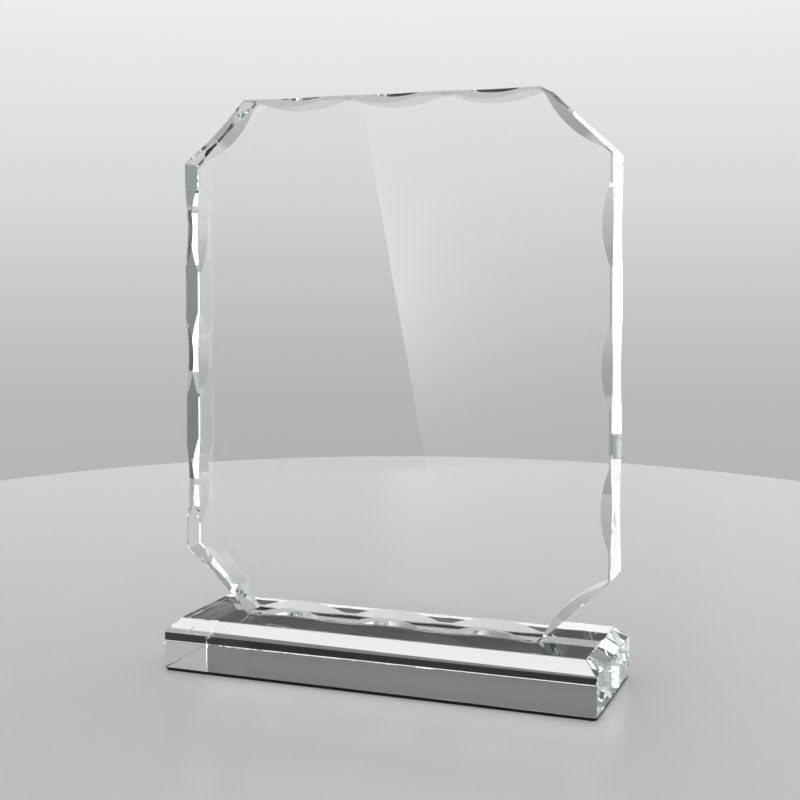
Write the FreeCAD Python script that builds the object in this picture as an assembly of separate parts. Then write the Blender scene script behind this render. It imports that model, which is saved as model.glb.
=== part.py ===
"""A free-standing award: an eight-sided clear glass plate with scalloped arrises, bonded upright
on a bevelled clear glass block that stands on a thin felt pad.

Millimetres. X runs along the plate's width, -Y is the front, +Z is up.
The origin is the centre of the pad's underside, on the surface that the award stands on.
"""

import FreeCAD, Part
import math
import os

# Plate
PLATE_WIDTH = 200.0
PLATE_HEIGHT = 235.0
PLATE_THICKNESS = 22.2
CLIP_ACROSS = 30.8  # how far each corner cut reaches along the top or bottom
CLIP_UP = 28.2  # how far it reaches along the upright side

# Scallops: shallow hollows that a wheel grinds into the plate's front and rear arrises.
# A chord is a scallop's length along the arris. At its middle, a scallop reaches one leg into
# the front or rear face, and the other into the plate's edge.
FRONT_CHORD = 38.5
FRONT_FACE_LEG = 4.2
FRONT_EDGE_LEG = 2.8
REAR_CHORD = 45.0
REAR_FACE_LEG = 4.6
REAR_EDGE_LEG = 3.1
LONGEST_CLIP_CHORD = 38.5
SCALLOPS_PER_SIDE = 3  # on the top, the bottom and both upright sides
SCALLOPS_PER_CLIP = 1  # on each corner cut
WHEEL_WIDTH = 12.0

# Base block
BASE_LENGTH = 199.0
BASE_DEPTH = 65.5
BASE_HEIGHT = 22.2
TOP_BEVEL = 5.6
BROKEN_ARRIS = 0.5  # small bevel on the block's bottom edges and upright corners

# Layers above and below the block
BOND_THICKNESS = 0.1
PAD_THICKNESS = 1.2
PAD_INSET = 0.1

# Heights worked out from the above
BASE_BOTTOM = PAD_THICKNESS
BASE_TOP = BASE_BOTTOM + BASE_HEIGHT
PLATE_BOTTOM = BASE_TOP + BOND_THICKNESS
PLATE_TOP = PLATE_BOTTOM + PLATE_HEIGHT

UP = FreeCAD.Vector(0, 0, 1)
REARWARD = FreeCAD.Vector(0, 1, 0)


def plate_corners():
    """The eight corners of the plate's outline in the XZ plane, anticlockwise from the front."""
    side = PLATE_WIDTH / 2
    clip_side = side - CLIP_ACROSS
    low_clip = PLATE_BOTTOM + CLIP_UP
    high_clip = PLATE_TOP - CLIP_UP
    outline = [
        (-clip_side, PLATE_BOTTOM),
        (clip_side, PLATE_BOTTOM),
        (side, low_clip),
        (side, high_clip),
        (clip_side, PLATE_TOP),
        (-clip_side, PLATE_TOP),
        (-side, high_clip),
        (-side, low_clip),
    ]
    return [FreeCAD.Vector(x, 0, z) for x, z in outline]


def grinding_wheel(arris_point, along, outward, face_side, chord, face_leg, edge_leg):
    """The wheel that cuts one scallop centred at arris_point.

    along is the arris's direction, outward the edge's normal, and face_side the normal of the
    front or rear face. The hollow is straight across, curves along the arris, and is deepest
    at its middle.
    """
    hypotenuse = math.hypot(face_leg, edge_leg)
    depth = face_leg * edge_leg / hypotenuse
    radius = ((chord / 2) ** 2 + depth**2) / (2 * depth)
    facet_normal = (outward * edge_leg + face_side * face_leg) * (1 / hypotenuse)
    axle = along.cross(facet_normal)
    hub = arris_point + facet_normal * (radius - depth)
    return Part.makeCylinder(radius, WHEEL_WIDTH, hub - axle * (WHEEL_WIDTH / 2), axle)


def side_wheels(start, end, count, longest_chord):
    """The wheels for one side of the outline: count evenly spaced scallops on both its arrises."""
    run = end - start
    along = run * (1 / run.Length)
    outward = REARWARD.cross(along)
    grinds = [
        (REARWARD * -1, FRONT_CHORD, FRONT_FACE_LEG, FRONT_EDGE_LEG),
        (REARWARD, REAR_CHORD, REAR_FACE_LEG, REAR_EDGE_LEG),
    ]
    wheels = []
    for face_side, chord, face_leg, edge_leg in grinds:
        chord = min(chord, longest_chord)
        for index in range(count):
            middle = start + run * ((index + 0.5) / count)
            arris_point = middle + face_side * (PLATE_THICKNESS / 2)
            wheel = grinding_wheel(arris_point, along, outward, face_side, chord, face_leg, edge_leg)
            wheels.append(wheel)
    return wheels


def award_plate():
    """The upright plate, with its scallops ground in."""
    corners = plate_corners()
    outline = Part.makePolygon(corners + corners[:1])
    outline.translate(REARWARD * (-PLATE_THICKNESS / 2))
    blank = Part.Face(outline).extrude(REARWARD * PLATE_THICKNESS)
    wheels = []
    for index, start in enumerate(corners):
        end = corners[(index + 1) % len(corners)]
        is_clip = index % 2 == 1
        if is_clip:
            wheels += side_wheels(start, end, SCALLOPS_PER_CLIP, LONGEST_CLIP_CHORD)
        else:
            wheels += side_wheels(start, end, SCALLOPS_PER_SIDE, REAR_CHORD)
    return blank.cut(wheels).removeSplitter()


def bond_film(plate):
    """The cured adhesive between the plate and the block, exactly as large as the plate's foot."""
    foot = min(plate.Faces, key=lambda face: face.CenterOfMass.z)
    return foot.extrude(UP * -BOND_THICKNESS)


def base_block():
    """The long block, with its four top edges bevelled and its other edges just broken."""
    corner = FreeCAD.Vector(-BASE_LENGTH / 2, -BASE_DEPTH / 2, BASE_BOTTOM)
    block = Part.makeBox(BASE_LENGTH, BASE_DEPTH, BASE_HEIGHT, corner)
    top_face = max(block.Faces, key=lambda face: face.CenterOfMass.z)
    block = block.makeChamfer(TOP_BEVEL, top_face.Edges)
    bevel_foot = BASE_TOP - TOP_BEVEL
    plain_edges = [edge for edge in block.Edges if edge.CenterOfMass.z < bevel_foot - BROKEN_ARRIS]
    return block.makeChamfer(BROKEN_ARRIS, plain_edges)


def base_pad():
    """The thin felt sheet under the block, cut almost flush with the block's sides."""
    length = BASE_LENGTH - 2 * PAD_INSET
    depth = BASE_DEPTH - 2 * PAD_INSET
    corner = FreeCAD.Vector(-length / 2, -depth / 2, 0)
    return Part.makeBox(length, depth, PAD_THICKNESS, corner)


def single_solid(shape):
    """The one solid that a shape holds."""
    solids = shape.Solids
    if len(solids) != 1:
        raise ValueError("expected one solid, found %d" % len(solids))
    return solids[0]


def main():
    plate = single_solid(award_plate())
    pieces = {
        "award_plate": plate,
        "bond_film": single_solid(bond_film(plate)),
        "base_block": single_solid(base_block()),
        "base_pad": single_solid(base_pad()),
    }
    os.makedirs("parts", exist_ok=True)
    for name, shape in pieces.items():
        shape.exportStep("parts/%s.step" % name)
        size = shape.optimalBoundingBox()
        print(name, "valid", shape.isValid(), "volume %.1f mm3" % shape.Volume)
        print("  x %.2f..%.2f" % (size.XMin, size.XMax), end="")
        print("  y %.2f..%.2f" % (size.YMin, size.YMax), end="")
        print("  z %.2f..%.2f" % (size.ZMin, size.ZMax))


main()
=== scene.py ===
"""Looks of the crystal award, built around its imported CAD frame. Metres, same frame as the CAD."""

import math

import bmesh
import bpy
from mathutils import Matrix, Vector, noise


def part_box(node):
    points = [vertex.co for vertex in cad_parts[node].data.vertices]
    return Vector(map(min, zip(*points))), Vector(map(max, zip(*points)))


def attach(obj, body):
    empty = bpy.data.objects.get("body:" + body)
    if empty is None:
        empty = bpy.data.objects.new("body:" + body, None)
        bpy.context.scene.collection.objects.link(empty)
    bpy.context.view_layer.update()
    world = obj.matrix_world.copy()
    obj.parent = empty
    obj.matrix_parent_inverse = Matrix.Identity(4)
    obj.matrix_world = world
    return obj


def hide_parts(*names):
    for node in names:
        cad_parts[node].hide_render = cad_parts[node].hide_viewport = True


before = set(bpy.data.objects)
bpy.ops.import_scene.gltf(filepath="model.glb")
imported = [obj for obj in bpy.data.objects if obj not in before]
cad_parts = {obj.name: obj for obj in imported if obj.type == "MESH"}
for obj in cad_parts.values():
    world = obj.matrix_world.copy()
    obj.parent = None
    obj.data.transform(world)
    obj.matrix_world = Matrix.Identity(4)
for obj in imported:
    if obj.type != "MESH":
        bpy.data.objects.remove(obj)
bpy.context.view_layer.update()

# Plate shape, as the CAD has it. A scallop is its chord and its legs into the face and the edge.
CLIP_ACROSS = 0.0308
CLIP_UP = 0.0282
FRONT_SCALLOP = (0.0385, 0.0042, 0.0028)
REAR_SCALLOP = (0.045, 0.0046, 0.0031)
LONGEST_CLIP_CHORD = 0.0385
SCALLOPS_PER_SIDE = 3
SCALLOPS_PER_CLIP = 1
FOOT_SIDE = 0  # which side of the outline is the foot
STATION_SPACING = 0.0006

# Block shape
TOP_BEVEL = 0.0056
FOOT_ARRIS_IN = 0.00050
FOOT_ARRIS_UP = 0.00029

# Hairline arrises, the narrow bevels that catch the light along every sharp edge
ARRIS_LEG = 0.0009
ARRIS_CORNER = 0.00035
BLOCK_ARRIS = 0.00030
SHARP_ANGLE = math.radians(4)

# Glass. The wheel marks and the ripple have a noise scale each, and ground faces ripple more.
GLASS_TINT = (0.75, 0.93, 0.86)
GLASS_DENSITY = 2.0
GLASS_IOR = 1.5
WHEEL_MARKS = 420
WHEEL_HAZE = 0.02
GLASS_RIPPLE = 60
POLISHED_RIPPLE = 0.02
ADDED_GROUND_RIPPLE = 0.10
RIPPLE_HEIGHT = 0.0002
# Painted shade: how dark the colour of ground faces is painted
PAINTED_GROUND_SHADE = 0.55
REAR_GROUND_AND_SHADE = 0.3  # how ground the rear scallops are and how much painted shade they carry, where the front ones are 1

# Bead of adhesive. Its section is in shares of its height: the lean of the faces above it, how much
# further its foot spreads, and where its hollow waist is.
BEAD = 0.00035
CLEAR = 0.00002
FACE_LEAN = 0.70
CLIP_LEAN = 1.12
BEAD_SPREAD = 0.6
WAIST_LEAN_SHARE = 0.75
WAIST_OUT = 0.22
WAIST_UP = 0.45
ADHESIVE_IOR = 1.47
ADHESIVE_COLOUR = (0.97, 0.98, 0.98, 1)
ADHESIVE_RUNS = 900.0
ADHESIVE_RELIEF = 0.00005

# Pad. Its edge is (inset, share of the thickness) from the floor up, and the fray is uneven cutting.
PAD_CORNER = 0.0020
PAD_CORNER_STEPS = 8
PAD_SPACING = 0.0008
PAD_EDGE = [(0.00030, 0.0), (0.00008, 0.20), (0.0, 0.55), (0.00006, 0.90), (0.00020, 1.0)]
FRAY_SCALE = 900
FINE_FRAY_SCALE = 2600
FINE_FRAY_SHARE = 0.6
FRAY_PULL = 0.00010
FRAY_REACH = 0.00007
FELT_DARK = (0.004, 0.004, 0.005, 1)
FELT_PALE = (0.030, 0.030, 0.033, 1)
FELT_LINT = (0.09, 0.09, 0.09, 1)
FELT_STRETCH = (1.0, 3.5, 2.0)
FELT_FIBRES = 1400.0
FELT_MATTING = 130.0
FELT_MATTING_SHARE = 0.4
FELT_LINT_SCALE = 260.0
FELT_RELIEF = 0.0002

# Camera
CAMERA_AZIMUTH = 20.98
CAMERA_DISTANCE = 0.6085
CAMERA_HEIGHT = 0.1845
CAMERA_HEADING = 20.77
CAMERA_PITCH = 2.375
LENS = 61.45
SENSOR_WIDTH = 36
SHIFT_UP = -0.10
NEAREST_SEEN = 0.01
FARTHEST_SEEN = 50

# Floor, an oval with painted shade: its grey goes from darker near to paler far between two places along it
FLOOR_HALF_WIDTH = 0.54
FLOOR_HALF_LENGTH = 0.70
FLOOR_SEGMENTS = 256
FLOOR_NEAR = 0.745
FLOOR_FAR = 0.94
FLOOR_NEAR_PLACE = -0.35
FLOOR_FAR_PLACE = 0.65

# What the backdrop sends out at each elevation in degrees, as a grey of 0 to 1
BACKDROP = [
    (-90, 0.70), (-11, 0.70), (-9.5, 0.455), (-5.5, 0.492), (-3, 0.54), (0, 0.612), (2.7, 0.686),
    (5, 0.735), (11.5, 0.86), (13.5, 0.45), (34, 0.45), (40, 0.86), (90, 0.88),
]

# Dark flags: azimuths from and to, elevations from and to and softness, all in degrees, then the shares
# of red, green and blue that the flag holds back
FLAGS = [
    (-183, -135, -90, 30, 5, (0.75, 0.75, 0.75)),
    (-62, -8, 12.5, 37, 1.5, (0.56, 0.56, 0.56)),
    (16.6, 23, -90, 11, 1.0, (0.85, 0.85, 0.85)),
    (23, 48, -90, 11, 3, (0.62, 0.54, 0.57)),
]

# Soft lights: name, azimuth and elevation in degrees, distance, width, height and the grey that it shows
SOFTBOXES = [
    ("rear_right_strip", 11.8, 2, 10.0, 0.72, 3.2, 2.0),
    ("right_bank", 85, 17, 3.0, 3.0, 4.4, 1.5),
    ("left_bank", -115, 18, 3.0, 2.4, 2.4, 1.2),
    ("overhead", -20, 62, 3.0, 2.2, 1.6, 1.2),
]
SOFTBOX_AIM = Vector((0, 0, 0.12))

# Bright strip above the backdrop
STRIP_WIDTH = 5.7
STRIP_HEIGHT = 0.26
STRIP_PLACE = (-1.65, 5.0, 1.27)
STRIP_LEVEL = 3.2

# Narrow lit card behind the plate's right edge. Its back is turned to an azimuth and an elevation.
EDGE_CARD_WIDTH = 0.012
EDGE_CARD_HEIGHT = 0.09
EDGE_CARD_PLACE = (0.1175, 0.08, 0.045)
EDGE_CARD_LEVEL = 0.11
EDGE_CARD_SPREAD = math.radians(52)
EDGE_CARD_TURN = 11.7
EDGE_CARD_TILT = -11

# Sheen card in front. Its left edge leans, and its light fades off to the right and up and down.
SHEEN_PLACE = -1.5
SHEEN_LOW = -0.15
SHEEN_HIGH = 0.55
SHEEN_LEFT = -0.540
SHEEN_RIGHT = 0.3
SHEEN_LEAN = -0.19
SHEEN_REACH = 0.12
SHEEN_MIDDLE = 0.135
SHEEN_SPREAD = 0.165
SHEEN_LEVEL = 4.2
SHEEN_EVEN_SHARE = 0.15

# Black card on the floor behind the block, a painted shadow that stands in for the block's contact shadow
PAINTED_SHADOW_GREY = 0.015
SHADOW_CARD_GAP = 0.003
SHADOW_CARD_REACH = 0.0175
SHADOW_CARD_PAST_END = 0.006
SHADOW_CARD_HEIGHT = 0.0004

# How often light is followed through and off the glass
BOUNCES = 32
GLOSSY_BOUNCES = 24


# ---------------------------------------------------------------- nodes

def new_material(name):
    """An empty node material, with its nodes, its links and its output node."""
    material = bpy.data.materials.new(name)
    material.use_nodes = True
    nodes = material.node_tree.nodes
    nodes.clear()
    return material, nodes, material.node_tree.links, nodes.new("ShaderNodeOutputMaterial")


def set_socket(links, socket, value):
    """Set a node's input, or link it where the value is another node's output."""
    if isinstance(value, bpy.types.NodeSocket):
        links.new(value, socket)
    else:
        socket.default_value = value


def node_with(nodes, links, kind, **sockets):
    """A node with some of its inputs set or linked. In an input's name, _ stands for a space."""
    node = nodes.new(kind)
    for name, value in sockets.items():
        set_socket(links, node.inputs[name.replace("_", " ")], value)
    return node


def maths(nodes, links, operation, *values, clamp=False):
    """The output of a maths node on numbers and other nodes' outputs."""
    node = nodes.new("ShaderNodeMath")
    node.operation = operation
    node.use_clamp = clamp
    for socket, value in zip(node.inputs, values):
        set_socket(links, socket, value)
    return node.outputs[0]


def vector_maths(nodes, links, operation, *values):
    """The output of a vector maths node on triples and other nodes' outputs."""
    node = nodes.new("ShaderNodeVectorMath")
    node.operation = operation
    for socket, value in zip(node.inputs, values):
        set_socket(links, socket, value)
    return node.outputs["Vector"]


def colour_mix(nodes, links, share, first, second):
    """The output of a node that blends the first colour into the second.

    Its colour sockets share their names with others, so they are found by their numbers.
    """
    node = nodes.new("ShaderNodeMix")
    node.data_type = "RGBA"
    set_socket(links, node.inputs["Factor"], share)
    set_socket(links, node.inputs[6], first)
    set_socket(links, node.inputs[7], second)
    return node.outputs[2]


def attribute(nodes, name):
    """The value that the mesh's faces carry under a name."""
    node = nodes.new("ShaderNodeAttribute")
    node.attribute_name = name
    return node.outputs["Fac"]


def object_coords(nodes):
    """A place on the object, in its own axes."""
    return nodes.new("ShaderNodeTexCoord").outputs["Object"]


def to_surface(links, shader, output):
    """Link a shader's output to the surface of a material, or of the world."""
    links.new(shader.outputs[0], output.inputs["Surface"])


# ---------------------------------------------------------------- materials

def crystal(name):
    """Clear glass that darkens with depth.

    Polished faces have a slow ripple. Ground ones ripple more, keep a trace of the wheel and carry a
    painted shade that darkens their colour.
    Where a face is bonded, light passes straight on.
    """
    material, nodes, links, output = new_material(name)
    ground = attribute(nodes, "ground")
    coords = object_coords(nodes)
    marks = node_with(nodes, links, "ShaderNodeTexNoise", Vector=coords, Scale=WHEEL_MARKS, Detail=3.0)
    ripple = node_with(nodes, links, "ShaderNodeTexNoise", Vector=coords, Scale=GLASS_RIPPLE, Detail=1.0)
    haze = maths(nodes, links, "MULTIPLY", ground, WHEEL_HAZE)
    haze = maths(nodes, links, "MULTIPLY", haze, marks.outputs["Fac"])
    strength = maths(nodes, links, "MULTIPLY_ADD", ground, ADDED_GROUND_RIPPLE, POLISHED_RIPPLE)
    relief = node_with(nodes, links, "ShaderNodeBump", Height=ripple.outputs["Fac"], Strength=strength,
                       Distance=RIPPLE_HEIGHT)
    bonded = attribute(nodes, "bonded")
    ior = node_with(nodes, links, "ShaderNodeMapRange", Value=bonded, To_Min=GLASS_IOR, To_Max=1.0)
    # Painted shade: ground faces get a darker colour, in full on the front scallops and the foot arris
    shade = node_with(nodes, links, "ShaderNodeMapRange", Value=ground, To_Min=1.0, To_Max=PAINTED_GROUND_SHADE)
    shader = node_with(nodes, links, "ShaderNodeBsdfPrincipled", Base_Color=shade.outputs["Result"],
                       Transmission_Weight=1.0, Roughness=haze, IOR=ior.outputs["Result"],
                       Normal=relief.outputs["Normal"])
    to_surface(links, shader, output)
    volume = node_with(nodes, links, "ShaderNodeVolumeAbsorption", Color=(*GLASS_TINT, 1),
                       Density=GLASS_DENSITY)
    links.new(volume.outputs["Volume"], output.inputs["Volume"])
    return material


def adhesive():
    """Cured clear adhesive, faintly milky, with small runs along it."""
    material, nodes, links, output = new_material("cured_adhesive")
    runs = node_with(nodes, links, "ShaderNodeTexNoise", Vector=object_coords(nodes), Scale=ADHESIVE_RUNS,
                     Detail=4.0)
    milk = node_with(nodes, links, "ShaderNodeMapRange", Value=runs.outputs["Fac"], From_Min=0.35,
                     From_Max=0.75, To_Min=0.80, To_Max=0.45)
    relief = node_with(nodes, links, "ShaderNodeBump", Height=runs.outputs["Fac"], Strength=0.4,
                       Distance=ADHESIVE_RELIEF)
    shader = node_with(nodes, links, "ShaderNodeBsdfPrincipled", Base_Color=ADHESIVE_COLOUR, Roughness=0.12,
                       IOR=ADHESIVE_IOR, Transmission_Weight=milk.outputs["Result"],
                       Normal=relief.outputs["Normal"])
    to_surface(links, shader, output)
    return material


def felt_shade(nodes, links, fibres, matting):
    """The felt's grey, from near black up to dark grey, where fibres and matting are light."""
    fine = maths(nodes, links, "MULTIPLY", fibres.outputs["Fac"], 1 - FELT_MATTING_SHARE)
    mixed = maths(nodes, links, "MULTIPLY_ADD", matting.outputs["Fac"], FELT_MATTING_SHARE, fine)
    shade = node_with(nodes, links, "ShaderNodeValToRGB", Fac=mixed)
    dark, pale = shade.color_ramp.elements
    dark.position, dark.color = 0.35, FELT_DARK
    pale.position, pale.color = 0.80, FELT_PALE
    return shade.outputs["Color"]


def felt():
    """Black pressed felt: matted fibres, a soft nap and a little pale lint."""
    material, nodes, links, output = new_material("black_felt")
    coords = object_coords(nodes)
    stretch = node_with(nodes, links, "ShaderNodeMapping", Vector=coords, Scale=FELT_STRETCH)
    fibres = node_with(nodes, links, "ShaderNodeTexNoise", Vector=stretch.outputs["Vector"],
                       Scale=FELT_FIBRES, Detail=6.0, Roughness=0.75, Distortion=1.6)
    matting = node_with(nodes, links, "ShaderNodeTexNoise", Vector=coords, Scale=FELT_MATTING, Detail=3.0)
    lint = node_with(nodes, links, "ShaderNodeTexVoronoi", Vector=stretch.outputs["Vector"],
                     Scale=FELT_LINT_SCALE)
    fleck = node_with(nodes, links, "ShaderNodeMapRange", Value=lint.outputs["Distance"], From_Min=0.0,
                      From_Max=0.05, To_Min=0.6, To_Max=0.0)
    colour = colour_mix(nodes, links, fleck.outputs["Result"], felt_shade(nodes, links, fibres, matting),
                        FELT_LINT)
    relief = node_with(nodes, links, "ShaderNodeBump", Height=fibres.outputs["Fac"], Strength=0.8,
                       Distance=FELT_RELIEF)
    shader = node_with(nodes, links, "ShaderNodeBsdfPrincipled", Base_Color=colour,
                       Specular_IOR_Level=0.1, Roughness=0.95, Sheen_Weight=0.25, Sheen_Roughness=0.5,
                       Normal=relief.outputs["Normal"])
    to_surface(links, shader, output)
    return material


# ---------------------------------------------------------------- meshes

def finish_mesh(bm, name, material, smooth=True):
    """An object in the scene from a finished mesh, which frees the bmesh."""
    mesh = bpy.data.meshes.new(name)
    bm.to_mesh(mesh)
    bm.free()
    mesh.materials.append(material)
    mesh.polygons.foreach_set("use_smooth", [smooth] * len(mesh.polygons))
    mesh.set_sharp_from_angle(angle=SHARP_ANGLE)
    mesh.update()
    piece = bpy.data.objects.new(name, mesh)
    bpy.context.scene.collection.objects.link(piece)
    return piece


def faces_between(bm, lower, upper):
    """The faces that join two rings of vertices."""
    count = len(lower)
    faces = []
    for index in range(count):
        follow = (index + 1) % count
        faces.append(bm.faces.new((lower[index], lower[follow], upper[follow], upper[index])))
    return faces


# ---------------------------------------------------------------- plate

def scallop_share(distance, length, count, chord, face_leg, edge_leg):
    """How deep the scallops are at a distance along a side, from 0 between them to 1 at a middle."""
    depth = face_leg * edge_leg / math.hypot(face_leg, edge_leg)
    radius = ((chord / 2) ** 2 + depth ** 2) / (2 * depth)
    deepest = 0.0
    for index in range(count):
        offset = distance - length * (index + 0.5) / count
        if abs(offset) < chord / 2:
            cut = math.sqrt(radius ** 2 - offset ** 2) - (radius - depth)
            deepest = max(deepest, cut / depth)
    return deepest


def arris_legs(distance, length, count, scallop):
    """How far the ground arris reaches into the face and into the edge at a point along a side."""
    chord, face_leg, edge_leg = scallop
    if count == SCALLOPS_PER_CLIP:
        chord = min(chord, LONGEST_CLIP_CHORD)
    share = scallop_share(distance, length, count, chord, face_leg, edge_leg)
    plain = ARRIS_LEG / max(face_leg, edge_leg)
    return face_leg * max(share, plain), edge_leg * max(share, plain)


def plate_outline(low, high):
    """Corners of the plate's outline as (x, z, scallops on the side that starts there), the foot first."""
    left, right, foot, head = low.x, high.x, low.z, high.z
    sides, clips = SCALLOPS_PER_SIDE, SCALLOPS_PER_CLIP
    return [
        (left + CLIP_ACROSS, foot, sides),
        (right - CLIP_ACROSS, foot, clips),
        (right, foot + CLIP_UP, sides),
        (right, head - CLIP_UP, clips),
        (right - CLIP_ACROSS, head, sides),
        (left + CLIP_ACROSS, head, clips),
        (left, head - CLIP_UP, sides),
        (left, foot + CLIP_UP, clips),
    ]


def plate_stations(low, high):
    """Stations round the plate's edge, each with its point, its way inward and its arris legs.

    The upright corners of the edge are cut across by a narrow strip, which has a station at each end.
    """
    corners = plate_outline(low, high)
    count = len(corners)
    points = [Vector((x, 0, z)) for x, z, _ in corners]
    alongs = [(points[(index + 1) % count] - start).normalized() for index, start in enumerate(points)]
    stations = []
    for index, start in enumerate(points):
        end = points[(index + 1) % count]
        length = (end - start).length
        along, before, after = alongs[index], alongs[index - 1], alongs[(index + 1) % count]
        steps = round((length - 2 * ARRIS_CORNER) / STATION_SPACING)
        for step in range(steps + 1):
            distance = ARRIS_CORNER + (length - 2 * ARRIS_CORNER) * step / steps
            strip = None
            if step == 0:
                strip = (before + along).normalized()
            elif step == steps:
                strip = (along + after).normalized()
            stations.append({
                "point": start + along * distance,
                "inward": inward_step(along, strip),
                "front": arris_legs(distance, length, corners[index][2], FRONT_SCALLOP),
                "rear": arris_legs(distance, length, corners[index][2], REAR_SCALLOP),
                "side": index if step < steps else None,
            })
    return stations


def inward_step(along, strip):
    """The way inward that keeps a loop parallel to a side, and to a corner's strip where one meets it."""
    inward = Vector((-along.z, 0, along.x))
    if strip is None:
        return inward
    other = Vector((-strip.z, 0, strip.x))
    return (inward + other) / (1 + inward.dot(other))


def plate_mesh(low, high):
    """The plate as one closed mesh: front face, front arrises, edge, rear arrises and rear face."""
    stations = plate_stations(low, high)
    bm = bmesh.new()
    bonded = bm.faces.layers.float.new("bonded")
    ground = bm.faces.layers.float.new("ground")
    rings = [[], [], [], []]
    for station in stations:
        point, inward = station["point"], station["inward"]
        (front_face, front_edge), (rear_face, rear_edge) = station["front"], station["rear"]
        section = [
            (low.y, front_face),
            (low.y + front_edge, 0),
            (high.y - rear_edge, 0),
            (high.y, rear_face),
        ]
        for ring, (y, leg) in zip(rings, section):
            place = point + inward * leg
            ring.append(bm.verts.new((place.x, y, place.z)))
    # The front scallops carry the full painted shade of ground faces and the rear ones only part of it
    bands = [("front arrises", 1.0), ("edge", 0.0), ("rear arrises", REAR_GROUND_AND_SHADE)]
    for (part, ground_and_shade), ahead, behind in zip(bands, rings, rings[1:]):
        for face, station in zip(faces_between(bm, ahead, behind), stations):
            face[bonded] = float(part == "edge" and station["side"] == FOOT_SIDE)
            face[ground] = ground_and_shade
    bm.faces.new(list(reversed(rings[0])))
    bm.faces.new(rings[3])
    bm.normal_update()
    bmesh.ops.recalc_face_normals(bm, faces=bm.faces[:])
    return bm, stations


# ---------------------------------------------------------------- block

def block_profile(low, high):
    """The block's outline in section, as (inset, height) from its underside up."""
    foot = high.z - TOP_BEVEL
    slope = BLOCK_ARRIS * math.sqrt(0.5)
    return [
        (FOOT_ARRIS_IN, low.z),
        (0, low.z + FOOT_ARRIS_UP),
        (0, foot - BLOCK_ARRIS),
        (slope, foot + slope),
        (TOP_BEVEL - slope, high.z - slope),
        (TOP_BEVEL + BLOCK_ARRIS, high.z),
    ]


def block_ring(bm, high, inset, height):
    """Eight vertices round the block at one height, with its upright corners just broken."""
    x, y, cut = high.x - inset, high.y - inset, ARRIS_CORNER
    outline = [
        (-x + cut, -y), (x - cut, -y), (x, -y + cut), (x, y - cut),
        (x - cut, y), (-x + cut, y), (-x, y - cut), (-x, -y + cut),
    ]
    return [bm.verts.new((px, py, height)) for px, py in outline]


def foot_outline(stations, plate_low, plate_high):
    """The outline of the plate's foot on the block: along the front to the right, and back behind."""
    foot = [station for station in stations if station["side"] == FOOT_SIDE]
    foot.append(stations[len(foot)])
    front = [(station["point"].x, plate_low.y + station["front"][1]) for station in foot]
    rear = [(station["point"].x, plate_high.y - station["rear"][1]) for station in foot]
    return front + rear[::-1]


def block_mesh(low, high, foot):
    """The block as one closed mesh. The arris round its foot is ground, and carries the painted shade of
    ground faces.

    Its top has a face of its own where the plate's foot is bonded.
    """
    bm = bmesh.new()
    bonded = bm.faces.layers.float.new("bonded")
    ground = bm.faces.layers.float.new("ground")
    rings = [block_ring(bm, high, inset, height) for inset, height in block_profile(low, high)]
    for lower, upper in zip(rings, rings[1:]):
        for face in faces_between(bm, lower, upper):
            # The foot arris is ground, which also gives it the painted shade of ground faces
            face[ground] = float(lower is rings[0])
    bm.faces.new(list(reversed(rings[0])))
    patch = [bm.verts.new((x, y, high.z)) for x, y in foot]
    contact = bm.faces.new(patch)
    contact[bonded] = 1.0
    bm.edges.ensure_lookup_table()
    top = rings[-1]
    outer_edges = [bm.edges.get((start, end)) for start, end in zip(top, top[1:] + top[:1])]
    inner_edges = list(contact.edges)
    bmesh.ops.triangle_fill(bm, edges=outer_edges + inner_edges, use_beauty=True, normal=(0, 0, 1))
    bmesh.ops.recalc_face_normals(bm, faces=bm.faces[:])
    return bm


# ---------------------------------------------------------------- bond

def bond_mesh(low, foot):
    """The bead of adhesive squeezed out round the plate's foot, under the faces that lean out over it."""
    bm = bmesh.new()
    points = [Vector((x, y, 0)) for x, y in foot]
    count = len(points)
    sections = []
    for index, point in enumerate(points):
        before = (point - points[index - 1]).normalized()
        after = (points[(index + 1) % count] - point).normalized()
        way = before + after
        outward = Vector((way.y, -way.x, 0)).normalized()
        lean = FACE_LEAN + (CLIP_LEAN - FACE_LEAN) * abs(outward.x)
        waist = WAIST_LEAN_SHARE * lean + WAIST_OUT
        section = []
        for reach, rise in ((0, 0), (lean + BEAD_SPREAD, 0), (waist, WAIST_UP), (lean, 1)):
            place = point + outward * (reach * BEAD + CLEAR)
            section.append(bm.verts.new((place.x, place.y, low.z + rise * BEAD + CLEAR)))
        sections.append(section)
    for section, following in zip(sections, sections[1:] + sections[:1]):
        corners = len(section)
        for step in range(corners):
            other = (step + 1) % corners
            bm.faces.new((section[step], following[step], following[other], section[other]))
    bmesh.ops.recalc_face_normals(bm, faces=bm.faces[:])
    return bm


# ---------------------------------------------------------------- pad

def pad_outline(low, high, inset):
    """The pad's outline with round corners, as closely spaced points."""
    corners = [(high.x, high.y), (low.x, high.y), (low.x, low.y), (high.x, low.y)]
    centres = [
        Vector((x - math.copysign(PAD_CORNER, x), y - math.copysign(PAD_CORNER, y), 0))
        for x, y in corners
    ]
    points = []
    for quarter, centre in enumerate(centres):
        for step in range(PAD_CORNER_STEPS + 1):
            angle = math.radians(90 * quarter + 90 * step / PAD_CORNER_STEPS)
            points.append(centre + Vector((math.cos(angle), math.sin(angle), 0)) * (PAD_CORNER - inset))
        start = points[-1]
        end = centres[(quarter + 1) % 4] + (start - centre)
        steps = round((end - start).length / PAD_SPACING)
        points += [start.lerp(end, step / steps) for step in range(1, steps)]
    return points


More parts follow.
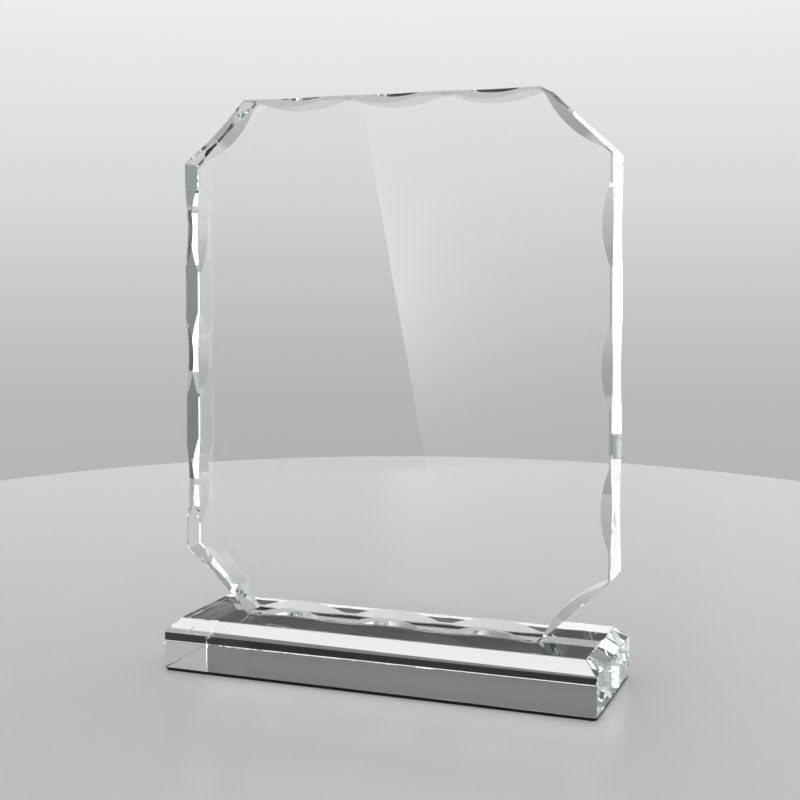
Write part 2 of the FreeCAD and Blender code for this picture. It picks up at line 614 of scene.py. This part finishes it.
def pad_mesh(low, high):
    """A closed slab of felt with a soft edge that is a little uneven, as cut felt is."""
    bm = bmesh.new()
    thickness = high.z - low.z - CLEAR
    rings = []
    for inset, share in PAD_EDGE:
        ring = []
        for point in pad_outline(low, high, inset):
            coarse = noise.noise(point * FRAY_SCALE + Vector((0, 0, share)))
            fray = coarse + FINE_FRAY_SHARE * noise.noise(point * FINE_FRAY_SCALE)
            pull = 1 - (FRAY_PULL + FRAY_REACH * fray) / point.length
            ring.append(bm.verts.new((point.x * pull, point.y * pull, low.z + thickness * share)))
        rings.append(ring)
    for lower, upper in zip(rings, rings[1:]):
        faces_between(bm, lower, upper)
    bm.faces.new(list(reversed(rings[0])))
    bm.faces.new(rings[-1])
    bmesh.ops.recalc_face_normals(bm, faces=bm.faces[:])
    return bm


# ---------------------------------------------------------------- stage

def floor_piece():
    """A pale oval floor, longer along the camera's heading, with painted shade that darkens it gently
    toward the camera.
    """
    material, nodes, links, output = new_material("pale_floor")
    split = node_with(nodes, links, "ShaderNodeSeparateXYZ", Vector=object_coords(nodes))
    # Painted shade: the floor's grey darkens toward the camera
    painted_falloff = node_with(nodes, links, "ShaderNodeMapRange", Value=split.outputs["Y"],
                     From_Min=FLOOR_NEAR_PLACE, From_Max=FLOOR_FAR_PLACE, To_Min=FLOOR_NEAR,
                     To_Max=FLOOR_FAR)
    shader = node_with(nodes, links, "ShaderNodeBsdfPrincipled", Base_Color=painted_falloff.outputs["Result"],
                       Roughness=0.25, Specular_IOR_Level=0.4)
    to_surface(links, shader, output)
    bm = bmesh.new()
    bmesh.ops.create_circle(bm, cap_ends=True, segments=FLOOR_SEGMENTS, radius=1.0)
    bmesh.ops.scale(bm, vec=(FLOOR_HALF_WIDTH, FLOOR_HALF_LENGTH, 1.0), verts=bm.verts[:])
    floor = finish_mesh(bm, "floor", material, smooth=False)
    floor.rotation_euler.z = math.radians(CAMERA_HEADING)


def studio():
    """The world: a backdrop graded by elevation, with dark flags in front of parts of it."""
    world = bpy.data.worlds.new("studio")
    bpy.context.scene.world = world
    world.use_nodes = True
    nodes, links = world.node_tree.nodes, world.node_tree.links
    nodes.clear()
    toward = nodes.new("ShaderNodeTexCoord").outputs["Generated"]
    split = node_with(nodes, links, "ShaderNodeSeparateXYZ", Vector=toward)
    elevation = maths(nodes, links, "ARCSINE", split.outputs["Z"])
    azimuth = maths(nodes, links, "ARCTAN2", split.outputs["X"], split.outputs["Y"])
    share = maths(nodes, links, "MULTIPLY_ADD", elevation, 1 / math.pi, 0.5)
    ramp = node_with(nodes, links, "ShaderNodeValToRGB", Fac=share)
    stops = ramp.color_ramp.elements
    for index, (degrees, grey) in enumerate(BACKDROP):
        place = (degrees + 90) / 180
        stop = stops[index] if index < 2 else stops.new(place)
        stop.position = place
        stop.color = (grey, grey, grey, 1)
    colour = ramp.outputs["Color"]
    for limits in FLAGS:
        left_over = flag(nodes, links, azimuth, elevation, *limits)
        colour = vector_maths(nodes, links, "MULTIPLY", colour, left_over)
    background = node_with(nodes, links, "ShaderNodeBackground", Color=colour)
    output = nodes.new("ShaderNodeOutputWorld")
    to_surface(links, background, output)


def band(nodes, links, offset, half_width, softness):
    """1 inside a band, falling to 0 over its soft edge. The offset from the band's middle is in radians."""
    away = maths(nodes, links, "ABSOLUTE", offset)
    edge = math.radians(softness)
    inside = math.radians(half_width) / edge + 0.5
    return maths(nodes, links, "MULTIPLY_ADD", away, -1 / edge, inside, clamp=True)


def flag(nodes, links, azimuth, elevation, left, right, low, high, softness, held):
    """What a soft-edged dark flag leaves of red, green and blue: all outside it, less inside."""
    turn = maths(nodes, links, "SUBTRACT", azimuth, math.radians((left + right) / 2))
    turn = maths(nodes, links, "WRAP", turn, math.pi, -math.pi)
    across = band(nodes, links, turn, (right - left) / 2, softness)
    lift = maths(nodes, links, "SUBTRACT", elevation, math.radians((low + high) / 2))
    up = band(nodes, links, lift, (high - low) / 2, softness)
    cover = maths(nodes, links, "MULTIPLY", across, up)
    return vector_maths(nodes, links, "MULTIPLY_ADD", cover, [-share for share in held], (1, 1, 1))


def direction(azimuth, elevation):
    """The unit vector toward an azimuth, from +Y toward +X, and an elevation, both in degrees."""
    azimuth, elevation = math.radians(azimuth), math.radians(elevation)
    return Vector((
        math.sin(azimuth) * math.cos(elevation),
        math.cos(azimuth) * math.cos(elevation),
        math.sin(elevation),
    ))


def area_light(name, place, back, width, height, level, clear_pieces):
    """A rectangular light that only the clear pieces see, with its back turned to a direction.

    Level is the grey that it shows.
    """
    data = bpy.data.lights.new(name, "AREA")
    data.shape = "RECTANGLE"
    data.size, data.size_y = width, height
    data.energy = level * math.pi * width * height
    light = bpy.data.objects.new(name, data)
    light.location = place
    light.rotation_euler = back.to_track_quat("Z", "Y").to_euler()
    light.visible_camera = False
    light.visible_diffuse = False
    light.light_linking.receiver_collection = clear_pieces
    bpy.context.scene.collection.objects.link(light)
    return light


def softbox(name, azimuth, elevation, distance, width, height, level, clear_pieces):
    """A soft light aimed at the middle of the award."""
    away = direction(azimuth, elevation)
    place = SOFTBOX_AIM + away * distance
    area_light(name, place, away, width, height, level, clear_pieces)


def backdrop_strip(clear_pieces):
    """A long bright strip above the backdrop."""
    area_light("backdrop_strip", STRIP_PLACE, direction(0, 0), STRIP_WIDTH, STRIP_HEIGHT, STRIP_LEVEL,
               clear_pieces)


def edge_card(clear_pieces):
    """A narrow lit card close behind the plate's right edge, which shines only toward the front."""
    back = direction(EDGE_CARD_TURN, EDGE_CARD_TILT)
    light = area_light("edge_card", EDGE_CARD_PLACE, back, EDGE_CARD_WIDTH, EDGE_CARD_HEIGHT,
                       EDGE_CARD_LEVEL, clear_pieces)
    light.data.spread = EDGE_CARD_SPREAD


def card(name, corners, material):
    """A flat staging card through the given corners, which the camera doesn't see."""
    bm = bmesh.new()
    bm.faces.new([bm.verts.new(corner) for corner in corners])
    piece = finish_mesh(bm, name, material, smooth=False)
    piece.visible_camera = False
    piece.visible_diffuse = False
    piece.visible_shadow = False
    return piece


def sheen_level(nodes, links):
    """How brightly the sheen card glows: most at its leaning left edge and at its middle height."""
    split = node_with(nodes, links, "ShaderNodeSeparateXYZ", Vector=object_coords(nodes))
    edge = maths(nodes, links, "MULTIPLY_ADD", split.outputs["Z"], SHEEN_LEAN, SHEEN_LEFT)
    across = maths(nodes, links, "SUBTRACT", edge, split.outputs["X"])
    across = maths(nodes, links, "DIVIDE", across, SHEEN_REACH)
    across = maths(nodes, links, "EXPONENT", across)
    up = maths(nodes, links, "SUBTRACT", split.outputs["Z"], SHEEN_MIDDLE)
    up = maths(nodes, links, "DIVIDE", up, SHEEN_SPREAD)
    up = maths(nodes, links, "MULTIPLY", up, up)
    up = maths(nodes, links, "EXPONENT", maths(nodes, links, "MULTIPLY", up, -1.0))
    level = maths(nodes, links, "MULTIPLY", across, up)
    even = SHEEN_LEVEL * SHEEN_EVEN_SHARE
    return maths(nodes, links, "MULTIPLY_ADD", level, SHEEN_LEVEL - even, even)


def sheen_card():
    """A lit card in front, which only shows as a slanting sheen on the plate, fading off to the right."""
    material, nodes, links, output = new_material("sheen_card")
    glow = node_with(nodes, links, "ShaderNodeEmission", Strength=sheen_level(nodes, links))
    to_surface(links, glow, output)
    piece = card("sheen_card", [
        (SHEEN_LEFT + SHEEN_LEAN * SHEEN_LOW, SHEEN_PLACE, SHEEN_LOW),
        (SHEEN_LEFT + SHEEN_LEAN * SHEEN_HIGH, SHEEN_PLACE, SHEEN_HIGH),
        (SHEEN_RIGHT, SHEEN_PLACE, SHEEN_HIGH),
        (SHEEN_RIGHT, SHEEN_PLACE, SHEEN_LOW),
    ], material)
    piece.visible_transmission = False


def painted_shadow_card(low, high):
    """A black card on the floor just behind the block, a painted contact shadow that darkens the block's
    clear band.
    """
    # Painted shadow: a black card that only the glass sees
    material, nodes, links, output = new_material("painted_shadow")
    black = (PAINTED_SHADOW_GREY, PAINTED_SHADOW_GREY, PAINTED_SHADOW_GREY, 1)
    shader = node_with(nodes, links, "ShaderNodeBsdfDiffuse", Color=black)
    to_surface(links, shader, output)
    near, far = high.y + SHADOW_CARD_GAP, high.y + SHADOW_CARD_REACH
    left, right = low.x - SHADOW_CARD_PAST_END, high.x
    corners = [(left, near), (right, near), (right, far), (left, far)]
    piece = card("painted_shadow_card", [(x, y, SHADOW_CARD_HEIGHT) for x, y in corners], material)
    piece.visible_glossy = False


def camera():
    """The camera, a little to the award's right and turned back toward it."""
    data = bpy.data.cameras.new("camera")
    data.lens = LENS
    data.sensor_width = SENSOR_WIDTH
    data.shift_y = SHIFT_UP
    data.clip_start, data.clip_end = NEAREST_SEEN, FARTHEST_SEEN
    azimuth, heading = math.radians(CAMERA_AZIMUTH), math.radians(CAMERA_HEADING)
    pitch = math.radians(CAMERA_PITCH)
    view = bpy.data.objects.new("camera", data)
    across, back = CAMERA_DISTANCE * math.sin(azimuth), CAMERA_DISTANCE * math.cos(azimuth)
    view.location = (across, -back, CAMERA_HEIGHT)
    view.rotation_euler = (math.pi / 2 - pitch, 0, heading)
    bpy.context.scene.collection.objects.link(view)
    bpy.context.scene.camera = view


# ---------------------------------------------------------------- pieces

plate_low, plate_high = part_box("award_plate")
block_low, block_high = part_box("base_block")
film_low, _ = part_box("bond_film")
pad_low, pad_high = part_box("base_pad")

bm, stations = plate_mesh(plate_low, plate_high)
plate = finish_mesh(bm, "crystal_plate", crystal("plate_crystal"))
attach(plate, "root")
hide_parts("award_plate")

foot = foot_outline(stations, plate_low, plate_high)
block = finish_mesh(block_mesh(block_low, block_high, foot), "crystal_block", crystal("block_crystal"))
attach(block, "root")
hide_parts("base_block")

bead = finish_mesh(bond_mesh(film_low, foot), "bond_bead", adhesive())
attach(bead, "root")
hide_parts("bond_film")

pad = finish_mesh(pad_mesh(pad_low, pad_high), "felt_pad", felt())
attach(pad, "root")
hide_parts("base_pad")

# ---------------------------------------------------------------- stage and lights

floor_piece()
studio()
clear_pieces = bpy.data.collections.new("clear_pieces")
for piece in (plate, block, bead):
    clear_pieces.objects.link(piece)
for settings in SOFTBOXES:
    softbox(*settings, clear_pieces)
backdrop_strip(clear_pieces)
edge_card(clear_pieces)
sheen_card()
# Painted shadow on the floor behind the block, seen only through the glass
painted_shadow_card(block_low, block_high)
camera()

scene = bpy.context.scene
scene.cycles.max_bounces = BOUNCES
scene.cycles.transmission_bounces = BOUNCES
scene.cycles.glossy_bounces = GLOSSY_BOUNCES
scene.view_settings.view_transform = "Standard"
